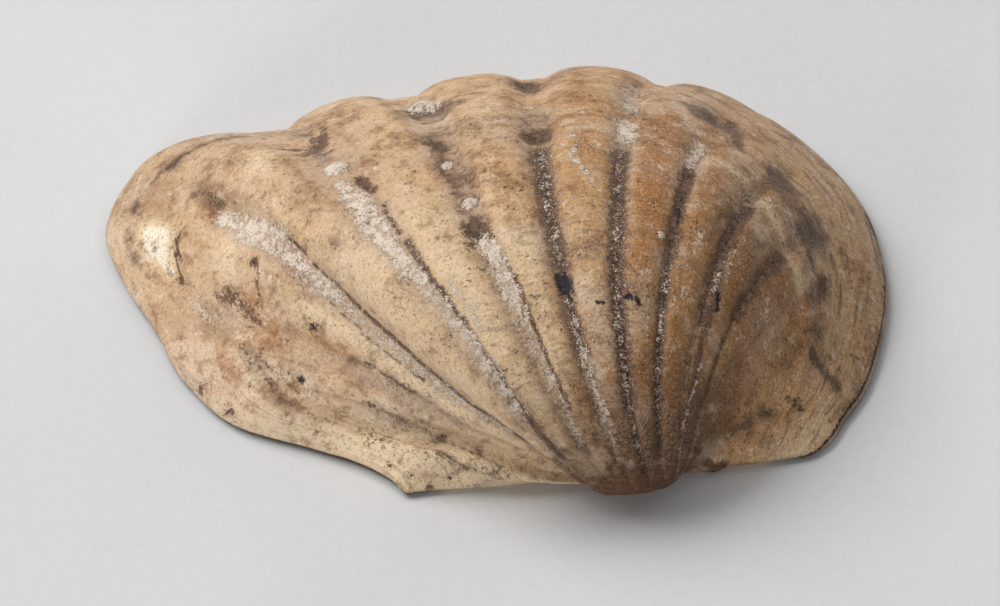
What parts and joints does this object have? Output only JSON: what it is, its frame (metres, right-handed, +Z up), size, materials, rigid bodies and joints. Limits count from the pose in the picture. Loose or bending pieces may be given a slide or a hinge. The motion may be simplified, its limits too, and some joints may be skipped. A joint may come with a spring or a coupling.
{
  "type": "brachiopod fossil",
  "caption": "Fossil valve of a ribbed, lopsided brachiopod: a low dome with radiating ribs, growth steps and a small beak over a straight hinge, filled below and resting on its margin.",
  "frame": {"origin": "middle of the valve's bounding box, on the plane of its margin", "axes": "+X along the hinge towards the short rounded lobe, +Y from the beak across to the far margin, +Z up through the dome"},
  "size_m": [0.0298, 0.0216, 0.0085],
  "materials": {
    "fossil_stone": "matte"
  },
  "bodies": {
    "root": {"fossil_valve": "fossil_stone"}
  },
  "joints": []
}
